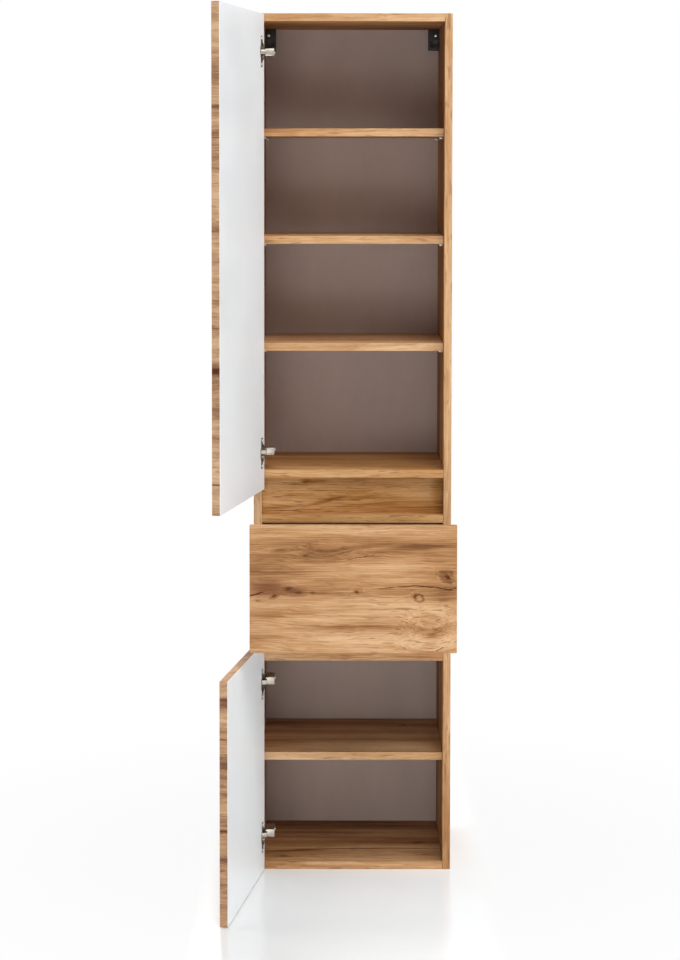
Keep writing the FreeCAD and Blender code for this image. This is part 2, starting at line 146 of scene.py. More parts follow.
# oak decor: x runs along the grain, y across the face and z through the board
oakLook = {
    "stops": [(0.22, (112, 72, 39)), (0.33, (152, 107, 66)), (0.42, (177, 131, 87)),
              (0.50, (194, 151, 108)), (0.60, (209, 169, 127)), (0.74, (222, 187, 149))],
    "knot": (84, 44, 18), "crack": (76, 38, 14), "smudge": (176, 146, 132), "fleck": (118, 76, 44),
    "contrast": 1.45, "gloss": 0.18, "dullness": (0.25, 0.75, 0.64, 0.52), "relief": (0.35, 0.0004),
    "seedShift": (1.37, 0.73, 0.41),
    # how far the grain and the marks wander
    "swellReach": 0.036, "rippleReach": 0.011, "tearReach": (0.010, 0.0042, 0.0),
    # shares of the tone, of the fleck colour and of the relief
    "broadShare": 0.46, "streakShare": 0.24, "fibreShare": 0.30, "fleckShare": 0.5, "poreShare": 0.25,
    "ridge": 0.5, "groove": 0.3,
    # depths at which the glued strips and the painted shade on the inner face take over
    "edgeStrip": (0.9 * mm, 0.7 * mm), "endStrip": (0.9 * mm, 0.6 * mm), "innerShadeDepths": (0.8, 0.95),
    # noises: stretch along, across and through, then detail and roughness
    "tear": ((55, 170, 20), 3.0), "swell": ((1.7, 5.0, 5.0), 1.0), "ripple": ((9.0, 26.0, 26.0), 2.0),
    "broad": ((1.5, 17.0, 17.0), 2.0), "streak": ((3.4, 95.0, 95.0), 4.0, 0.62),
    "fibre": ((7.0, 430.0, 430.0), 3.0, 0.6), "flecks": ((26.0, 240.0, 240.0), 1.0),
    "fleckCloud": ((4.0, 14.0, 14.0), 1.0), "pores": ((30.0, 1150.0, 1150.0), 1.0),
    # where flecks and pores start and are full
    "fleckSpan": (0.59, 0.68), "cloudSpan": (0.40, 0.62, 0.25, 1.0), "poreSpan": (0.60, 0.70),
}
# marks fade between these distances from their middle, counted in their own half sizes
markFade = {
    "core": (1.15, 0.35), "stain": (2.6, 0.8), "halo": (4.0, 0.2), "rim": (0.42, 0.05), "dip": (1.0, 0.0),
    "band": (1.1, 0.15), "smudge": (1.15, 0.1), "crackSide": (1.2, 0.4), "crackEnd": (1.06, 0.9),
    "stainTone": -0.08, "haloPush": -1.4, "haloEase": 0.6, "rimPlace": 0.85, "crackTaper": (4.0, 0.4),
}
turns = {"level": (0, 0, 0), "upright": (0, -rightAngle, 0), "front": (rightAngle, 0, 0)}


# marks on the face are given in millimetres from its middle: x, y, half length, half width, tilt in degrees,
# and then how strong they are; a crack is given by its two ends and its width
def markSpot(tree, face, x, y, length, width, tilt):
    return put(tree, "Mapping", {"Vector": face, "Location": (x * mm, y * mm, 0),
                                 "Rotation": (0, 0, math.radians(tilt)),
                                 "Scale": (length * mm, width * mm, 1.0)}, vector_type="TEXTURE").outputs[0]


def marksOf(tree, face, rows):
    for *shape, depth in rows:
        spot = markSpot(tree, face, *shape)
        yield spot, howFar(tree, spot), shape[3], depth


def crackLine(tree, face, x0, y0, x1, y1, width):
    half, tilt = math.hypot(x1 - x0, y1 - y0) / 2, math.degrees(math.atan2(y1 - y0, x1 - x0))
    spot = markSpot(tree, face, (x0 + x1) / 2, (y0 + y1) / 2, half, width / 2, tilt)
    length, across = (calc(tree, "ABSOLUTE", along(tree, spot, axis)) for axis in "XY")
    power, share = markFade["crackTaper"]
    thin = calc(tree, "MULTIPLY_ADD", calc(tree, "POWER", length, power), share, across)
    return calc(tree, "MULTIPLY", spread(tree, thin, *markFade["crackSide"]),
                spread(tree, length, *markFade["crackEnd"]))


# bend is how far the grain is pushed aside, and shift how much lighter or darker the tone is
def oakMarks(tree, face, marks, bend, shift):
    cores, gaps, warmth = 0.0, 0.0, 0.0
    for spot, far, width, depth in marksOf(tree, face, marks.get("knots", ())):
        side = along(tree, spot, "Y")
        side = calc(tree, "DIVIDE", side, calc(tree, "ADD", calc(tree, "ABSOLUTE", side), markFade["haloEase"]))
        halo = spread(tree, far, *markFade["halo"], 0.0, markFade["haloPush"] * width * mm)
        bend = calc(tree, "MULTIPLY_ADD", halo, side, bend)  # the grain runs round the knot
        cores = calc(tree, "MAXIMUM", cores, spread(tree, far, *markFade["core"], 0.0, depth))
        shift = calc(tree, "ADD", shift, spread(tree, far, *markFade["stain"], 0.0, markFade["stainTone"]))
    for _, far, _, depth in marksOf(tree, face, marks.get("rings", ())):
        rim = calc(tree, "ABSOLUTE", calc(tree, "SUBTRACT", far, markFade["rimPlace"]))
        shift = calc(tree, "ADD", shift, spread(tree, rim, *markFade["rim"], 0.0, -depth))
    for _, far, _, depth in marksOf(tree, face, marks.get("dips", ())):
        bend = calc(tree, "ADD", bend, spread(tree, far, *markFade["dip"], 0.0, depth * mm))
    for _, far, _, depth in marksOf(tree, face, marks.get("bands", ())):
        shift = calc(tree, "ADD", shift, spread(tree, far, *markFade["band"], 0.0, depth))
    for _, far, _, depth in marksOf(tree, face, marks.get("smudges", ())):
        warmth = calc(tree, "MAXIMUM", warmth, spread(tree, far, *markFade["smudge"], 0.0, depth))
    for crack in marks.get("cracks", ()):
        gaps = calc(tree, "MAXIMUM", gaps, crackLine(tree, face, *crack))
    return bend, shift, cores, gaps, warmth


# edge: place and lift of the strip on the front edge; inner: those of the inner face, whose lift paints shade;
# end: place of the strip across the end of the grain, which then takes the richness that otherwise holds for the
# whole board
def oakFinish(name, centre, turn, seed, marks, lift=0.0, through=1.0, edge=None, inner=None,
              richness=1.0, end=None):
    look = oakLook
    material, tree, shader, coords = newFinish(name, {"Specular IOR Level": look["gloss"]})
    local = put(tree, "Mapping", {"Vector": coords, "Location": centre, "Rotation": turn},
                vector_type="TEXTURE").outputs[0]
    away = [seed * step for step in look["seedShift"]]  # so that no two boards are alike
    place = vectorCalc(tree, "MULTIPLY_ADD", local, (1, 1, through), away)
    tear = noise(tree, place, *look["tear"], output="Color")
    tear = vectorCalc(tree, "SUBTRACT", tear, (noiseMiddle, noiseMiddle, noiseMiddle))
    flat = vectorCalc(tree, "MULTIPLY", local, (1, 1, 0))
    face = vectorCalc(tree, "MULTIPLY_ADD", tear, look["tearReach"], flat)
    bend = weigh(tree, (noise(tree, place, *look["swell"]), look["swellReach"]),
                 (noise(tree, place, *look["ripple"]), look["rippleReach"]))
    shift = lift
    if edge:
        low, high = (edge[0] + depth for depth in look["edgeStrip"])
        shift = spread(tree, along(tree, local, "Y"), low, high, lift, edge[1])
    # painted shade: the inner face is made darker than the outer one
    if inner:
        low, high = (inner[0] * share for share in look["innerShadeDepths"])
        shift = calc(tree, "ADD", shift, spread(tree, along(tree, local, "Z"), low, high, 0.0, inner[1]))
    bend, shift, cores, gaps, warmth = oakMarks(tree, face, marks, bend, shift)

    grain = vectorCalc(tree, "ADD", place, put(tree, "CombineXYZ", {1: bend, 2: bend}).outputs[0])
    broad, streak, fibre, flecks, fleckCloud, pores = (noise(tree, grain, *look[kind]) for kind in (
        "broad", "streak", "fibre", "flecks", "fleckCloud", "pores"))
    flecks = calc(tree, "MULTIPLY", spread(tree, flecks, *look["fleckSpan"]),
                  spread(tree, fleckCloud, *look["cloudSpan"]))
    pores = spread(tree, pores, *look["poreSpan"])
    tone = weigh(tree, (broad, look["broadShare"]), (streak, look["streakShare"]), (fibre, look["fibreShare"]))
    tone = calc(tree, "SUBTRACT", tone, noiseMiddle)
    tone = calc(tree, "MULTIPLY_ADD", tone, look["contrast"], noiseMiddle)
    colour = ramp(tree, calc(tree, "ADD", tone, shift), look["stops"])
    colour = blend(tree, weigh(tree, (flecks, look["fleckShare"]), (pores, look["poreShare"])), colour,
                   shade(*look["fleck"]))
    if richness != 1.0:
        strip = 1.0
        if end:
            strip = spread(tree, along(tree, local, "X"), *(end - depth for depth in look["endStrip"]))
        colour = put(tree, "HueSaturation", {"Fac": strip, "Saturation": richness, "Color": colour}).outputs[0]
    if "smudges" in marks:
        colour = blend(tree, warmth, colour, shade(*look["smudge"]), "MULTIPLY")
    if "knots" in marks:
        colour = blend(tree, cores, colour, shade(*look["knot"]))
    if "cracks" in marks:
        colour = blend(tree, gaps, colour, shade(*look["crack"]))
    height = calc(tree, "SUBTRACT", weigh(tree, (fibre, look["ridge"]), (streak, look["ridge"])),
                  weigh(tree, (pores, look["groove"]), (gaps, look["groove"])))
    dull = calc(tree, "MAXIMUM", spread(tree, fibre, *look["dullness"]), calc(tree, "MAXIMUM", cores, gaps))
    feed(tree, shader, colour=colour, rough=dull, normal=bump(tree, height, *look["relief"]))
    return material


# plain finishes: clouds of tone under a fine skin, or under fine scratches on metal
plainLook = {
    "toneSpan": (0.3, 0.7), "cloud": (4.0, 0.6), "skinShare": 0.3, "skinBump": 0.25,
    "steelCloud": ((90.0, 90.0, 90.0), 3.0), "scratch": ((2600.0, 260.0, 260.0), 2.0), "scratchShare": 0.4,
    "flakeShare": 0.15, "steelSpan": (0.25, 0.75), "scratchBump": (0.15, 0.00005),
}


def plainRamp(tree, tone, light, dark):
    low, high = plainLook["toneSpan"]
    return ramp(tree, tone, [(low, dark), (high, light)])


def sheetFinish(name, light, dark, gloss, mottle=(6.0, 6.0, 6.0), peel=700.0, peelDepth=0.00012,
                rough=(0.40, 0.50)):
    material, tree, shader, coords = newFinish(name, {"Specular IOR Level": gloss})
    cloud = noise(tree, coords, mottle, *plainLook["cloud"])
    skin = noise(tree, coords, (peel, peel, peel))
    tone = weigh(tree, (skin, plainLook["skinShare"]), (cloud, 1 - plainLook["skinShare"]))
    feed(tree, shader, colour=plainRamp(tree, tone, light, dark),
         rough=spread(tree, cloud, *plainLook["toneSpan"], *rough),
         normal=bump(tree, skin, plainLook["skinBump"], peelDepth))
    return material


def steelFinish(name, light, dark, rough, spangle=0.0):
    material, tree, shader, coords = newFinish(name, {"Metallic": 1.0})
    cloud = noise(tree, coords, *plainLook["steelCloud"])
    scratch = noise(tree, coords, *plainLook["scratch"])
    tone = weigh(tree, (scratch, plainLook["scratchShare"]), (cloud, 1 - plainLook["scratchShare"]))
    if spangle:
        flakes = put(tree, "TexVoronoi", {"Vector": coords, "Scale": spangle}).outputs["Color"]
        tone = weigh(tree, (along(tree, flakes, "X"), plainLook["flakeShare"]),
                     (tone, 1 - plainLook["flakeShare"]))
    feed(tree, shader, colour=plainRamp(tree, tone, light, dark),
         rough=spread(tree, tone, *plainLook["steelSpan"], *rough),
         normal=bump(tree, scratch, *plainLook["scratchBump"]))
    return material


finishes = {
    "white_melamine": sheetFinish("whiteMelamine", (233, 236, 238), (227, 230, 232), gloss=0.4),
    "white_board": sheetFinish("whiteDrawerBoard", (232, 232, 230), (224, 224, 222), gloss=0.4),
    "taupe_board": sheetFinish("taupeBack", (192, 176, 168), (178, 161, 153), gloss=0.25,
                               mottle=(14.0, 14.0, 5.0), peel=1100.0, peelDepth=0.0001, rough=(0.42, 0.52)),
    "beech": sheetFinish("beechDowel", (214, 182, 140), (192, 156, 112), gloss=0.3,
                         mottle=(40.0, 300.0, 300.0), peel=900.0),
    "nickel": steelFinish("nickelPlate", (180, 172, 162), (148, 141, 132), rough=(0.28, 0.40)),
    "zinc": steelFinish("zincPlate", (236, 236, 231), (204, 204, 198), rough=(0.22, 0.34)),
    "runner_steel": steelFinish("galvanisedRail", (186, 189, 192), (150, 154, 158), rough=(0.30, 0.46),
                                spangle=220.0),
    "black_plastic": sheetFinish("blackPlastic", (44, 42, 40), (28, 27, 26), gloss=0.45,
                                 mottle=(60.0, 60.0, 60.0), peel=1500.0, peelDepth=0.0002, rough=(0.42, 0.55)),
}
# a nickel darkened with painted shade, for the hinge cups and plates, which lie in shade
paintedShadeNickel = steelFinish("paintedShadeNickel", (132, 125, 116), (98, 92, 85), rough=(0.30, 0.44))
dullZinc = steelFinish("dullZinc", (176, 175, 170), (142, 141, 136), rough=(0.32, 0.46))
print("finishes:", len(finishes), "plain ones made")


# making and placing pieces
def meshOf(bm, name):
    mesh = bpy.data.meshes.new(name)
    bm.to_mesh(mesh)
    bm.free()
    return mesh


def squareBlock(lo, hi):
    bm = bmesh.new()
    bmesh.ops.create_cube(bm, size=1.0)
    bmesh.ops.scale(bm, vec=hi - lo, verts=bm.verts)
    bmesh.ops.translate(bm, vec=(lo + hi) / 2, verts=bm.verts)
    return bm


def soften(bm, edges, width, steps):
    bmesh.ops.bevel(bm, geom=edges, offset=width, offset_type="OFFSET", segments=steps, profile=0.5,
                    affect="EDGES", material=-1)


def softBlock(lo, hi, width, steps):
    bm = squareBlock(lo, hi)
    soften(bm, list(bm.edges), width, steps)
    return bm


def sharpEdges(bm, degrees):
    return [e for e in bm.edges if len(e.link_faces) == 2 and e.calc_face_angle(0) > math.radians(degrees)]


def cutAcross(bm, place, normal, **cleared):
    bmesh.ops.bisect_plane(bm, geom=bm.verts[:] + bm.edges[:] + bm.faces[:], plane_co=place, plane_no=normal,
                           **cleared)


def facing(direction):
    return direction.to_track_quat("Z", "Y").to_matrix().to_4x4()


def addRod(bm, start, direction, radius, length, sides):
    matrix = Matrix.Translation(start + direction * (length / 2)) @ facing(direction)
    bmesh.ops.create_cone(bm, cap_ends=True, segments=sides, radius1=radius, radius2=radius, depth=length,
                          matrix=matrix)


def cutAway(mesh, cutters):
    body, tool = bpy.data.objects.new("whole", mesh), bpy.data.objects.new("cutters", cutters)
    for thing in (body, tool):
        bpy.context.scene.collection.objects.link(thing)
    step = body.modifiers.new("cut", "BOOLEAN")
    step.object, step.operation, step.solver = tool, "DIFFERENCE", "EXACT"
    graph = bpy.context.evaluated_depsgraph_get()
    made = bpy.data.meshes.new_from_object(body.evaluated_get(graph))
    for thing in (body, tool):
        bpy.data.objects.remove(thing)
    return made


def setPiece(name, mesh, material, node, smoothAngle=None):
    mesh.materials.clear()
    mesh.materials.append(material)
    piece = bpy.data.objects.new(name, mesh)
    bpy.context.scene.collection.objects.link(piece)
    if smoothAngle:
        mesh.shade_smooth()
        mesh.set_sharp_from_angle(angle=math.radians(smoothAngle))
    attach(piece, bodyOf[node])
    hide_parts(node)


def solidsOf(node):  # the points of each separate solid, in a fixed order
    bm = bmesh.new()
    bm.from_mesh(nodes[node].data)
    bmesh.ops.remove_doubles(bm, verts=bm.verts, dist=mergeGap)
    left, groups = set(bm.verts), []
    for first in bm.verts:
        if first not in left:
            continue
        left.remove(first)
        reached, group = [first], []
        while reached:
            vert = reached.pop()
            group.append(vert.co.copy())
            near = [e.other_vert(vert) for e in vert.link_edges if e.other_vert(vert) in left]
            left.difference_update(near)
            reached += near
        groups.append(group)
    bm.free()
    return sorted(groups, key=lambda g: tuple(round(v, 5) for v in sum(g, Vector()) / len(g)))


# carcass boards
carcass = {
    "edge": 0.5 * mm, "steps": 2, "holeStep": 32 * mm, "holeSteps": (-1, 0, 1),
    "holeRadius": 2.55 * mm, "holeDepth": 10 * mm, "holeSides": 24,
    "level": ["top_panel", "bottom_panel", "drawer_divider", "niche_floor", "upper_floor", "lower_shelf",
              "loose_shelf_1", "loose_shelf_2", "loose_shelf_3"],
    "upright": ["left_side", "right_side"], "front": ["niche_back"],
    "edgeLift": {"top_panel": 0.05, "drawer_divider": 0.10, "niche_floor": -0.01, "upper_floor": -0.03,
                 "bottom_panel": -0.10, "lower_shelf": 0.06, "loose_shelf_1": 0.0, "loose_shelf_2": 0.02,
                 "loose_shelf_3": -0.03, "left_side": 0.03, "right_side": -0.02},
    # the top panel's darker faces are painted shade on its underside
    "lift": {"top_panel": -0.13, "upper_floor": -0.05, "bottom_panel": -0.05, "left_side": -0.05,
             "right_side": -0.04, "niche_back": -0.02, "niche_floor": -0.02},
    # painted shade: the inner face of the right side is darker, as it lies in shade
    "innerShadeLift": {"right_side": -0.15},
    # painted light: the boards round the niche are richer in colour, standing in for warm light bounced inside it
    "richness": {"niche_back": 1.10, "niche_floor": 1.10, "upper_floor": 1.08},
    "marks": {
        "bottom_panel": {
            "knots": [(-140, -124, 10, 6, 0, 0.7), (139, -21, 9, 5, 0, 0.5), (151, -112, 12, 6, 0, 0.5)],
            "cracks": [(-184, -88, -130, -82, 4.0), (-134, -83, -60, -71, 3.4), (-64, -71, 90, -65, 3.0),
                       (86, -65, 184, -70, 3.2)],
            # its last two bands are painted light along the front and painted shade along the rear
            "bands": [(-110, -82, 85, 14, 6, -0.20), (20, -68, 180, 9, 1, -0.16), (140, -92, 60, 18, 0, -0.12),
                      (-60, 60, 150, 16, 0, -0.08), (20, -130, 190, 24, 0, 0.09), (0, 130, 300, 90, 0, -0.13)]},
        "lower_shelf": {
            # its last two bands are painted shade along the rear and painted light along the front
            "bands": [(60, 40, 160, 18, 0, -0.09), (-90, -70, 120, 12, 0, -0.06), (-10, 120, 300, 75, 0, -0.16),
                      (30, -95, 170, 55, 0, 0.12)],
            "knots": [(110, 90, 6, 4, 0, 0.8)]},
        "niche_back": {
            # its last two bands are painted shade under the upper floor and at the right end
            "bands": [(-90, 24, 60, 9, 8, -0.10), (-54, -13, 66, 5, 14, -0.17), (-150, -26, 70, 6, 4, -0.16),
                      (30, -20, 130, 5, 5, -0.09), (120, -8, 60, 8, 5, 0.05), (20, 38, 260, 16, 0, -0.10),
                      (178, 10, 22, 50, 0, -0.12)],
            "knots": [(-96, 27, 5, 3, 0, 0.5)], "cracks": [(-183, -33, -60, -30, 1.2)]},
        "left_side": {
            "knots": [(240, 40, 12, 8, 0, 0.8), (-420, -70, 10, 6, 10, 0.75)],
            "cracks": [(-120, -30, 120, -24, 1.6)], "bands": [(300, 60, 240, 20, 0, -0.1)]},
        "right_side": {
            "knots": [(-300, 30, 13, 8, 0, 0.8), (380, -60, 9, 6, -8, 0.75)],
            "cracks": [(60, 90, 300, 84, 1.6), (-700, -40, -520, -36, 1.6)],
            "bands": [(-380, 70, 260, 22, 0, -0.1), (200, -90, 240, 16, 0, -0.08)]},
    },
}


def pinPlaces(sign):
    middles = [(Vector(map(min, *group)) + Vector(map(max, *group))) / 2 for group in solidsOf("shelf_pins")]
    return [middle for middle in middles if middle.x * sign > 0]


def pinDrills(lo, hi):  # a row of holes at each shelf pin, each drill from a millimetre off the inner face
    sign = 1 if lo.x > 0 else -1
    face = min(abs(lo.x), abs(hi.x)) * sign
    drills = bmesh.new()
    for spot in pinPlaces(sign):
        for step in carcass["holeSteps"]:
            start = Vector((face - sign * mm, spot.y, spot.z + step * carcass["holeStep"]))
            addRod(drills, start, Vector((sign, 0, 0)), carcass["holeRadius"], carcass["holeDepth"] + mm,
                   carcass["holeSides"])
    return meshOf(drills, "pinDrills")


def makeCarcassBoards():
    seed = 0
    for run in ("level", "upright", "front"):
        for node in carcass[run]:
            seed += 1
            lo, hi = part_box(node)
            mesh = meshOf(softBlock(lo, hi, carcass["edge"], carcass["steps"]), node + "Board")
            if run == "upright":
                mesh = cutAway(mesh, pinDrills(lo, hi))
            edge = inner = None
            if node in carcass["edgeLift"]:
                edge = ((lo.y - hi.y) / 2, carcass["edgeLift"][node])
            if node in carcass["innerShadeLift"]:
                inner = ((hi.x - lo.x) / 2, carcass["innerShadeLift"][node])
            material = oakFinish("oak_" + node, (lo + hi) / 2, turns[run], seed, carcass["marks"].get(node, {}),
                                 carcass["lift"].get(node, 0.0), edge=edge, inner=inner,
                                 richness=carcass["richness"].get(node, 1.0))
            setPiece(node + "_board", mesh, material, node)


makeCarcassBoards()
print("carcass: boards bevelled and drilled")


# short bands that run out over a door's free edge: height, half width, tone
def edgeBands(*rows, middle=150, reach=110):
    return [(middle, height, reach, width, 0, tone) for height, width, tone in rows]


# doors and drawer front, shaped closed and then put where they stand
fronts = {
    "edge": 0.9 * mm, "hingeEdge": 2.0 * mm, "steps": 3, "sharp": 60,
    "cupEdge": 20.5 * mm, "cupRadius": 17.5 * mm, "cupDepth": 13 * mm, "cupSides": 64,
    "through": 0.12,  # the grain hardly changes through a front
    "endRichness": 0.87,  # and is paler on a door's free edge
    "seed": {"drawer": 33, "upper": 21, "lower": 27}, "lift": {"drawer": -0.03, "upper": -0.05, "lower": -0.13},
    "drawer": {
        "knots": [(181, 24, 9, 5.4, -35, 0.95), (7, -4.5, 6, 3.2, 0, 0.9), (-152, -12, 6, 3.2, 20, 0.85),
                  (-124, 1, 6, 4, 0, 0.75), (-106, -6.5, 9, 3, 0, 0.75), (-79, -7, 4, 2, 0, 0.6),
                  (118, -13, 4, 3, 40, 0.6), (-183, -22, 6, 2, 0, 0.6), (-92, 65, 4, 1.6, 10, 0.7),
                  (-137, 75, 14, 3, 6, 0.3)],
        "rings": [(126, -17, 10, 8, 0, 0.16), (179, 25, 15, 12, -35, 0.05)],
        "cracks": [(-200, -13, -171, -5, 3.2), (46, 2, 86, 5, 1.4), (82, 5, 124, 7, 2.4), (120, 7, 160, 4, 2.8),
                   (156, 4.4, 186, -1, 3.0), (182, -1, 200, 3, 2.6), (159, -119, 172, -111, 2.0),
                   (-36, 65, 3, 77, 1.0), (-13, 57, 30, 65, 1.4), (20, 62, 44, 67, 1.0),
                   (-60, 62, -20, 68, 0.9)],
        "bands": [(-150, 74, 90, 14, 4, 0.03), (110, 79, 110, 9, 5, -0.13), (-60, 70, 70, 12, 10, -0.02),
                  (-150, -48, 120, 12, 0, -0.13), (10, -73, 130, 7, 0, -0.14), (130, -80, 60, 10, -24, -0.10),
                  (163, -81, 40, 10, 28, -0.14), (147, -107, 22, 9, 10, -0.14), (110, -8, 110, 16, -2, -0.10),
                  (-20, -6, 120, 12, 0, -0.05), (180, -10, 40, 20, 0, -0.10), (-150, 30, 110, 14, 0, -0.06),
                  (60, 40, 160, 20, 3, 0.07), (40, -30, 190, 6, -2, 0.08), (-90, -60, 110, 5, 0, 0.06),
                  (-40, -100, 170, 16, 0, 0.06), (0, 105, 200, 14, 0, 0.02), (160, -45, 30, 8, -20, 0.08),
                  (175, 10, 90, 120, 0, -0.06)],
        "smudges": [(-165, 3, 56, 27, 0, 0.95), (-125, -4, 52, 14, 0, 0.8), (-60, -6, 40, 6, 0, 0.4)],
        "dips": [(150, -85, 85, 70, 0, 26), (-40, 70, 120, 40, 12, 8)],
    },
    "upper": {
        "knots": [(60, 190, 12, 8, 0, 0.85), (-110, -260, 10, 7, 15, 0.8), (150, -60, 4, 3, 0, 0.85),
                  (194, -208, 20, 9, 0, 0.97)],
        "rings": [(-30, 330, 11, 9, 0, 0.14)],
        "cracks": [(-60, 60, 120, 66, 2.2), (-198, 320, -90, 326, 2.0), (110, 226, 202, 227, 2.2),
                   (100, 49, 202, 52, 2.4), (60, -415, 202, -421, 3.0)],
        "bands": edgeBands((283, 7, -0.34), (270, 13, -0.15), (233, 13, -0.18), (55, 11, -0.16),
                           (-79, 10, -0.12), (-127, 7, -0.27), (-335, 15, -0.15), (-421, 5, -0.10),
                           (361, 16, -0.12), (415, 18, -0.08), (455, 18, -0.14), (-165, 34, 0.10),
                           (140, 36, 0.08), (315, 24, 0.08), (-260, 30, 0.08)) + [
                 (-100, 80, 120, 20, 0, -0.12), (-80, -160, 140, 16, 0, -0.10), (-60, 240, 160, 14, 0, -0.08),
                 (-40, -60, 180, 14, 0, 0.07), (0, 150, 180, 16, 0, 0.07), (0, -300, 180, 14, 0, 0.07)],
        "smudges": [(120, -150, 90, 30, 0, 0.4), (-60, -200, 120, 16, 0, 0.4)],
        "dips": [(-120, 300, 90, 90, 0, 22)],
    },
    "lower": {
        "knots": [(-70, 90, 11, 8, -10, 0.85), (120, -110, 8, 6, 0, 0.8)],
        "rings": [(60, 30, 10, 8, 0, 0.14)],
        "cracks": [(-150, -30, 30, -24, 2.2), (90, 196, 202, 199, 3.6), (120, 121, 202, 123, 1.8),
                   (100, -50, 202, -52, 3.6)],
        "bands": edgeBands((199, 6, -0.26), (189, 12, -0.18), (123, 7, -0.12), (74, 9, -0.09), (51, 7, -0.12),
                           (20, 9, -0.18), (-30, 22, -0.20), (-52, 7, -0.42), (-107, 9, -0.17),
                           (-185, 30, -0.10), (160, 20, 0.12), (-78, 15, 0.10), (-140, 16, 0.06),
                           (98, 12, 0.06)) + [
                 (-80, 160, 140, 14, 0, -0.12), (-60, -110, 150, 16, 0, -0.10), (-20, 20, 180, 16, 0, 0.07)],
        "smudges": [(-60, -25, 130, 16, 0, 0.5)],
        "dips": [(-130, -140, 80, 70, 0, 20)],
    },
}
travel = -joints["drawer_slide"]["range_m"][0]
faceLo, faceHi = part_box("drawer_front")
linerLo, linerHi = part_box("drawer_front_liner")


def doorPlace(door):
    joint = joints[door + "_door_hinge"]
    pivot = Vector(joint["pos_m"])
    angle = -math.radians(joint["range_deg"][1])
    return Matrix.Translation(pivot) @ Matrix.Rotation(angle, 4, "Z") @ Matrix.Translation(-pivot), angle


def frontShape(bottom, top, inner):
    lo = Vector((faceLo.x, faceLo.y + travel, bottom))
    hi = Vector((faceHi.x, linerHi.y + travel, top))
    bm = squareBlock(lo, hi)
    hinge = [e for e in bm.edges if all(v.co.x < 0 and v.co.y > (lo.y + hi.y) / 2 for v in e.verts)]
    soften(bm, hinge, fronts["hingeEdge"], fronts["steps"])
    soften(bm, sharpEdges(bm, fronts["sharp"]), fronts["edge"], fronts["steps"])
    # the white sheet is the innermost slice of the front
    cutAcross(bm, (0, linerLo.y + travel, 0), (0, 1, 0), clear_outer=not inner, clear_inner=inner)
    bmesh.ops.holes_fill(bm, edges=[e for e in bm.edges if e.is_boundary], sides=0)
    bmesh.ops.recalc_face_normals(bm, faces=bm.faces)
    return bm


def cupDrills(door):
    drills = bmesh.new()
    for spot in ("top", "bottom"):
        lo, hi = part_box(f"{door}_{spot}_hinge_arm")
        start = Vector((faceLo.x + fronts["cupEdge"], linerHi.y + travel + mm, (lo.z + hi.z) / 2))
        addRod(drills, start, Vector((0, -1, 0)), fronts["cupRadius"], fronts["cupDepth"] + mm,
               fronts["cupSides"])
    return meshOf(drills, "cupDrills")


def frontOak(name, front, centre, turn, **richer):
    return oakFinish(name, centre, turn, fronts["seed"][front], fronts[front], fronts["lift"][front],
                     fronts["through"], **richer)


def makeFronts():
    halfway = (faceLo.y + linerHi.y) / 2
    white = finishes["white_melamine"]
    for door in ("upper", "lower"):
        place, angle = doorPlace(door)
        lo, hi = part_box(door + "_door_board")
        closedMiddle = Vector((0, halfway + travel, (lo.z + hi.z) / 2))
        oak = frontOak(f"oak_{door}_door", door, place @ closedMiddle, (rightAngle, 0, angle),
                       richness=fronts["endRichness"], end=faceHi.x)
        for part, inner, finish in (("board", False, oak), ("liner", True, white)):
            mesh = cutAway(meshOf(frontShape(lo.z, hi.z, inner), f"{door}Door{part}"), cupDrills(door))
            mesh.transform(place)
            setPiece(f"{door}_door_{part}_piece", mesh, finish, f"{door}_door_{part}")
    middle = Vector((0, halfway, (faceLo.z + faceHi.z) / 2))
    oak = frontOak("oak_drawer_front", "drawer", middle, turns["front"])
    for part, inner, finish in (("drawer_front", False, oak), ("drawer_front_liner", True, white)):
        mesh = meshOf(frontShape(faceLo.z, faceHi.z, inner), part + "Shape")
        mesh.transform(Matrix.Translation((0, -travel, 0)))
        setPiece(part + "_piece", mesh, finish, part)


makeFronts()
print("fronts: two doors and the drawer front shaped")


# drawer box
drawerBox = {"edge": 0.6 * mm, "steps": 2,
             "boards": ["drawer_left_side", "drawer_right_side", "drawer_back", "drawer_inner_front",
                        "drawer_bottom"]}


def makeDrawerBox():
    for node in drawerBox["boards"]:
        bm = softBlock(*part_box(node), drawerBox["edge"], drawerBox["steps"])
        setPiece(node + "_panel", meshOf(bm, node + "Panel"), finishes["white_board"], node)


makeDrawerBox()
print("drawer: box boards bevelled")


# metal fittings keep their worked-out shape, with their sharp edges eased
fittings = {
    "ease": {"_hinge_arm": 0.35 * mm, "_hinge_plate": 0.3 * mm, "_hinge_cup": 0.18 * mm, "_rail": 0.2 * mm,
             "_hook": 0.4 * mm, "shelf_pins": 0.4 * mm},
    "steps": 2, "sharp": 40, "flat": 0.5, "smooth": 32,
    # cups and plates take the nickel darkened with painted shade
    "finish": {"_hinge_plate": paintedShadeNickel, "_hinge_cup": paintedShadeNickel, "shelf_pins": dullZinc},
}


def makeFittings():
    for node in sorted(nodes):
        kind = next((ending for ending in fittings["ease"] if node.endswith(ending)), None)
        if not kind:
            continue
        bm = bmesh.new()
        bm.from_mesh(nodes[node].data)
        bmesh.ops.remove_doubles(bm, verts=bm.verts, dist=2 * mergeGap)
        bmesh.ops.dissolve_limit(bm, angle_limit=math.radians(fittings["flat"]), verts=bm.verts, edges=bm.edges)
        soften(bm, sharpEdges(bm, fittings["sharp"]), fittings["ease"][kind], fittings["steps"])
        finish = fittings["finish"].get(kind, finishes[slotOf[node]])
        setPiece(node + "_eased", meshOf(bm, node + "Eased"), finish, node, fittings["smooth"])


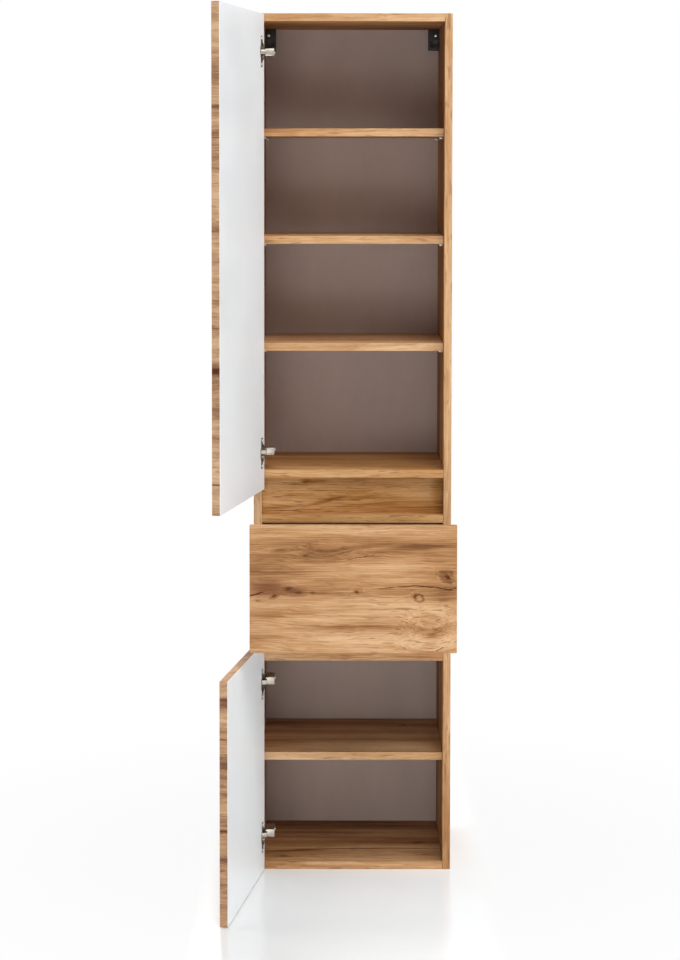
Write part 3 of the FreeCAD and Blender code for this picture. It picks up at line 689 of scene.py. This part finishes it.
makeFittings()
print("fittings: hinges, rails, hooks and pins eased")


# hanger housings, with a sunk window below the screw
hangers = {"edge": 0.7 * mm, "steps": 3, "smooth": 30, "windowTop": 0.52, "windowBottom": 0.08,
           "rim": 2.6 * mm, "sunk": 1.6 * mm, "slope": 0.4 * mm, "windowEdge": 0.15 * mm, "windowSteps": 2}


def makeHangers():
    for node in ("left_hanger_housing", "right_hanger_housing"):
        lo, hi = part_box(node)
        bm = softBlock(lo, hi, hangers["edge"], hangers["steps"])
        top, bottom = (lo.z + (hi.z - lo.z) * hangers[end] for end in ("windowTop", "windowBottom"))
        for level in (top, bottom):
            cutAcross(bm, (0, 0, level), (0, 0, 1))
        window = [f for f in bm.faces
                  if f.normal.y < -0.99 and abs(f.calc_center_median().z - (top + bottom) / 2) < mm]
        bmesh.ops.inset_region(bm, faces=window, thickness=hangers["rim"], use_even_offset=True)
        inner = bmesh.ops.inset_region(bm, faces=window, thickness=hangers["slope"], depth=-hangers["sunk"],
                                       use_even_offset=True)
        rims = list(dict.fromkeys(e for f in inner["faces"] for e in f.edges))
        soften(bm, rims, hangers["windowEdge"], hangers["windowSteps"])
        setPiece(node + "_moulded", meshOf(bm, node + "Moulded"), finishes["black_plastic"], node,
                 hangers["smooth"])


makeHangers()
print("hangers: two housings moulded")


# screws with a domed or a sunk head and a cross recess
screws = {
    "headRadius": 3.6 * mm, "domeHeight": 1.6 * mm, "sunkHeight": 1.2 * mm, "sides": 28, "smooth": 35,
    "dome": [(0, 0), (0.45, 0.06), (0.75, 0.22), (0.94, 0.62), (1, 1)],  # shares of radius and height
    "sunkRim": (0.97, 0.1 * mm), "shankRadius": 1.9 * mm, "shankLength": 10 * mm,
    "recessReach": 2.2 * mm, "recessWidth": 0.8 * mm, "recessDepth": 1.1 * mm, "turnStep": 0.9,
}


def crossBar(turn):
    bar = bmesh.new()
    size = (2 * screws["recessReach"], screws["recessWidth"], 2 * screws["recessDepth"])
    bmesh.ops.create_cube(bar, size=1.0)
    bmesh.ops.scale(bar, vec=size, verts=bar.verts)
    bmesh.ops.rotate(bar, matrix=Matrix.Rotation(turn, 3, "Z"), verts=bar.verts)
    return meshOf(bar, "crossBar")


def screwShape(sinks):
    # a lathe profile turned round the axis, with the top of the head at zero
    radius, shank = screws["headRadius"], screws["shankRadius"]
    height = screws["sunkHeight"] if sinks else screws["domeHeight"]
    tip = -height - screws["shankLength"]
    share, drop = screws["sunkRim"]
    head = [(radius * across, -height * down) for across, down in screws["dome"]]
    if sinks:
        head = [(0, 0), (radius * share, 0), (radius, -drop)]
    bm = bmesh.new()
    profile = head + [(shank, -height), (shank, tip), (0, tip)]
    chain = [bm.verts.new((x, 0, z)) for x, z in profile]
    edges = [bm.edges.new(pair) for pair in zip(chain, chain[1:])]
    bmesh.ops.spin(bm, geom=chain + edges, cent=(0, 0, 0), axis=(0, 0, 1), angle=2 * math.pi,
                   steps=screws["sides"], use_merge=True)
    bmesh.ops.remove_doubles(bm, verts=bm.verts, dist=mergeGap)
    bmesh.ops.recalc_face_normals(bm, faces=bm.faces)
    return cutAway(cutAway(meshOf(bm, "screwShape"), crossBar(0)), crossBar(rightAngle))


def headPlace(group, toward):  # the head's own ring of points gives the centre line
    ends = [p.dot(toward) for p in group]
    top = max(ends)
    ring = [p for p, end in zip(group, ends) if end > top - 10 * mergeGap]
    seat = sum(ring, Vector()) / len(ring)
    return seat + toward * (top - seat.dot(toward))


def makeScrews():
    inward = {door: doorPlace(door)[0].to_3x3() @ Vector((0, 1, 0)) for door in ("upper", "lower")}
    heads = {"hinge_plate_screws": Vector((1, 0, 0)), "hinge_arm_screws": Vector((1, 0, 0)),
             "upper_cup_screws": inward["upper"], "lower_cup_screws": inward["lower"],
             "drawer_front_screws": Vector((0, 1, 0)), "hanger_screws": Vector((0, -1, 0)),
             "runner_cabinet_screws": None, "runner_drawer_screws": None}
    domed, sunk = screwShape(False), screwShape(True)
    for node, axis in heads.items():
        bm = bmesh.new()
        for count, group in enumerate(solidsOf(node)):
            toward = axis
            if axis is None:  # heads on the cabinet rails face the drawer, those on its rails face away
                outward = Vector((1 if sum(p.x for p in group) > 0 else -1, 0, 0))
                toward = -outward if node == "runner_cabinet_screws" else outward
            spun = Matrix.Rotation(count * screws["turnStep"], 4, "Z")
            place = Matrix.Translation(headPlace(group, toward)) @ facing(toward) @ spun
            before = len(bm.verts)
            bm.from_mesh(sunk if axis is None else domed)
            bm.verts.ensure_lookup_table()
            bmesh.ops.transform(bm, matrix=place, verts=bm.verts[before:])
        setPiece(node + "_driven", meshOf(bm, node + "Driven"), finishes["zinc"], node, screws["smooth"])


makeScrews()
print("screws: cross recesses cut")

for node, thing in nodes.items():  # nodes that stay as they are take their finish
    if slotOf[node] in finishes:
        thing.data.materials.clear()
        thing.data.materials.append(finishes[slotOf[node]])


# studio
studio = {
    "floorSize": 60.0, "floorTones": [(0.3, (243, 243, 243)), (0.7, (247, 247, 247))],
    "speck": ((3.0, 3.0, 3.0), 4.0), "floorRough": 0.18, "floorGloss": 0.3,
    "floorFade": (0.235, 0.30), "floorMiddle": -0.01, "floorRound": 0.27,  # where it turns white, sideways
    "floorLift": 0.18, "liftTint": (0.90, 0.98, 1.0, 1.0), "whiteNear": 0.96, "whiteFade": (0.3, 1.3),
    "floorDim": (-0.27, 0.2), "dimTone": 0.74, "floorGlow": 0.16, "glowFade": (0.9, 2.2),
    "worldLight": 0.08, "worldGloss": 0.9,
    # place, target, size and power
    "lights": {"topFront": ((1.0, -3.3, 4.2), (0.0, -0.2, 0.8), 2.8, 117.0),
               "rightBox": ((3.6, -1.6, 1.4), (-0.2, -0.35, 0.9), 2.6, 66.0),
               "lowFront": ((-0.2, -3.4, 0.22), (0.0, 0.1, 0.4), 1.4, 33.0),
               "overhead": ((0.0, -0.5, 5.5), (0.0, -0.5, 0.0), 5.0, 108.0),
               "leftFill": ((-3.8, 0.6, 2.0), (0.0, 0.0, 0.9), 2.6, 70.0),
               "backFill": ((-1.7, 3.8, 1.5), (0.0, 0.1, 0.9), 2.6, 70.0)},
    "cameraPlace": (-0.03103, -5.17730, 1.42719), "pitch": 0.0553, "roll": 0.00099, "yaw": 0.00024,
    "lens": 93.315, "sensor": 36.0, "shift": (0.002, -0.18),
}


def makeFloor(scene):
    bm = bmesh.new()
    bmesh.ops.create_grid(bm, x_segments=1, y_segments=1, size=studio["floorSize"] / 2)
    floor = bpy.data.objects.new("studioFloor", meshOf(bm, "studioFloor"))
    scene.collection.objects.link(floor)
    material, tree, shader, coords = newFinish("paleFloor", {"Roughness": studio["floorRough"],
                                                             "Specular IOR Level": studio["floorGloss"]})
    speck = noise(tree, coords, *studio["speck"])
    seen = put(tree, "LightPath").outputs["Is Camera Ray"]
    unseen = calc(tree, "SUBTRACT", 1.0, seen)
    sideways = along(tree, coords, "X")
    dim = spread(tree, sideways, *studio["floorDim"], studio["dimTone"], 1.0)  # the open doors shade the left
    dim = calc(tree, "MAXIMUM", unseen, dim)
    feed(tree, shader, colour=blend(tree, 1.0, ramp(tree, speck, studio["floorTones"]), dim, "MULTIPLY"))
    far = howFar(tree, coords)
    # seen directly the floor fades to white, and close by it throws light up as a lit white sweep does
    glow = calc(tree, "MULTIPLY", unseen, spread(tree, far, *studio["glowFade"], studio["floorGlow"], 0.0))
    glow = calc(tree, "MULTIPLY_ADD", seen, studio["floorLift"], glow)
    glow = put(tree, "Emission", {"Color": studio["liftTint"], "Strength": glow}).outputs[0]
    near = put(tree, "AddShader", {0: shader.outputs[0], 1: glow}).outputs[0]
    white = spread(tree, far, *studio["whiteFade"], studio["whiteNear"], 1.0)
    white = put(tree, "Emission", {"Strength": white}).outputs[0]
    aside = calc(tree, "ABSOLUTE", calc(tree, "SUBTRACT", sideways, studio["floorMiddle"]))
    wide = calc(tree, "MAXIMUM", aside, calc(tree, "MULTIPLY", far, studio["floorRound"]))
    fade = calc(tree, "MULTIPLY", seen, spread(tree, wide, *studio["floorFade"]))
    mixed = put(tree, "MixShader", {0: fade, 1: near, 2: white})
    tree.links.new(mixed.outputs[0], tree.nodes["Material Output"].inputs["Surface"])
    floor.data.materials.append(material)


def makeWorld(scene):
    world = bpy.data.worlds.new("studioWorld")
    world.use_nodes = True
    scene.world = world
    sky = world.node_tree
    path = put(sky, "LightPath").outputs
    gloss = calc(sky, "MULTIPLY", path["Is Glossy Ray"], studio["worldGloss"])
    strength = calc(sky, "MAXIMUM", studio["worldLight"], calc(sky, "MAXIMUM", path["Is Camera Ray"], gloss))
    back = sky.nodes["Background"]
    back.inputs["Color"].default_value = (1, 1, 1, 1)
    sky.links.new(strength, back.inputs["Strength"])


def makeLights(scene):
    for name, (place, target, size, power) in studio["lights"].items():
        lamp = bpy.data.lights.new(name, "AREA")
        lamp.shape, lamp.size, lamp.energy = "SQUARE", size, power
        holder = bpy.data.objects.new(name, lamp)
        holder.location = place
        holder.visible_camera = False
        holder.rotation_euler = (Vector(target) - Vector(place)).to_track_quat("-Z", "Y").to_euler()
        scene.collection.objects.link(holder)


def makeCamera(scene):
    view = bpy.data.cameras.new("photoView")
    view.lens, view.sensor_width, view.sensor_fit = studio["lens"], studio["sensor"], "AUTO"
    view.shift_x, view.shift_y = studio["shift"]
    camera = bpy.data.objects.new("photoView", view)
    camera.location = studio["cameraPlace"]
    camera.rotation_euler = (rightAngle - studio["pitch"], -studio["roll"], -studio["yaw"])
    scene.collection.objects.link(camera)
    scene.camera = camera


scene = bpy.context.scene
scene.view_settings.view_transform = "Standard"
for make in (makeFloor, makeWorld, makeLights, makeCamera):
    make(scene)
print("studio: floor, light and camera set")

bpy.context.view_layer.update()
